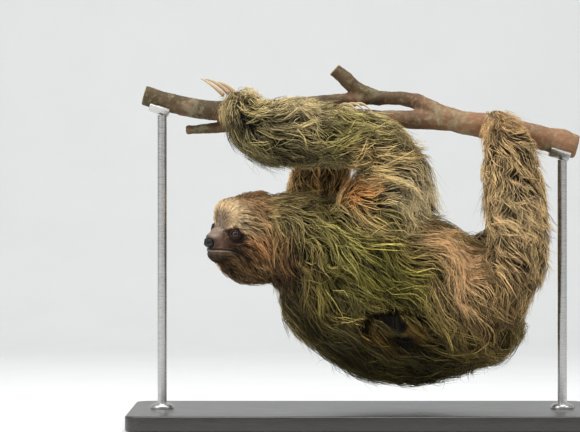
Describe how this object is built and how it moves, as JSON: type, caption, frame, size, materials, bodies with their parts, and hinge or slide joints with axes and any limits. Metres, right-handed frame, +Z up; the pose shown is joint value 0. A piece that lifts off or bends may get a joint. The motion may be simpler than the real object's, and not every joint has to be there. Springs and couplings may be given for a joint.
{
  "type": "three-toed sloth",
  "caption": "Life-size three-toed sloth hanging by its limbs from a cut branch, back towards the viewer and face in profile, on a flat base with rods.",
  "frame": {"origin": "middle of the underside of the stand's base, on the floor", "axes": "+Z up; +X along the branch from the hand end to the foot end, so the head is towards -X; the animal's back is turned towards -Y"},
  "size_m": [0.5, 0.25, 0.3883],
  "materials": {
    "body_fur": "long coarse grey-brown fur tinged green by algae",
    "leg_fur": "long coarse tan fur",
    "face_fur": "short tan and cream fur, dark round the eyes",
    "nose_skin": "bare black skin, slightly moist",
    "claw": "tan horn, satin",
    "eye": "dark brown, wet gloss",
    "bark": "thin reddish-brown bark with pale green lichen",
    "stand_base": "black satin lacquer",
    "stand_steel": "brushed"
  },
  "bodies": {
    "root": {"claw_foot_left_1": "claw", "claw_foot_left_2": "claw", "claw_foot_left_3": "claw", "claw_foot_right_1": "claw", "claw_foot_right_2": "claw", "claw_foot_right_3": "claw", "claw_hand_left_1": "claw", "claw_hand_left_2": "claw", "claw_hand_left_3": "claw", "claw_hand_right_1": "claw", "claw_hand_right_2": "claw", "claw_hand_right_3": "claw", "eye_left": "eye", "eye_right": "eye", "foot_left": "leg_fur", "foot_right": "leg_fur", "forearm_left": "body_fur", "forearm_right": "body_fur", "hand_left": "body_fur", "hand_right": "body_fur", "head": "face_fur", "neck": "body_fur", "nose": "nose_skin", "perch": "bark", "shin_left": "leg_fur", "shin_right": "leg_fur", "stand_base": "stand_base", "stand_collar_left": "stand_steel", "stand_collar_right": "stand_steel", "stand_cradle_left": "stand_steel", "stand_cradle_right": "stand_steel", "stand_rod_left": "stand_steel", "stand_rod_right": "stand_steel", "tail": "body_fur", "thigh_left": "leg_fur", "thigh_right": "leg_fur", "trunk": "body_fur", "upper_arm_left": "body_fur", "upper_arm_right": "body_fur"}
  },
  "joints": []
}
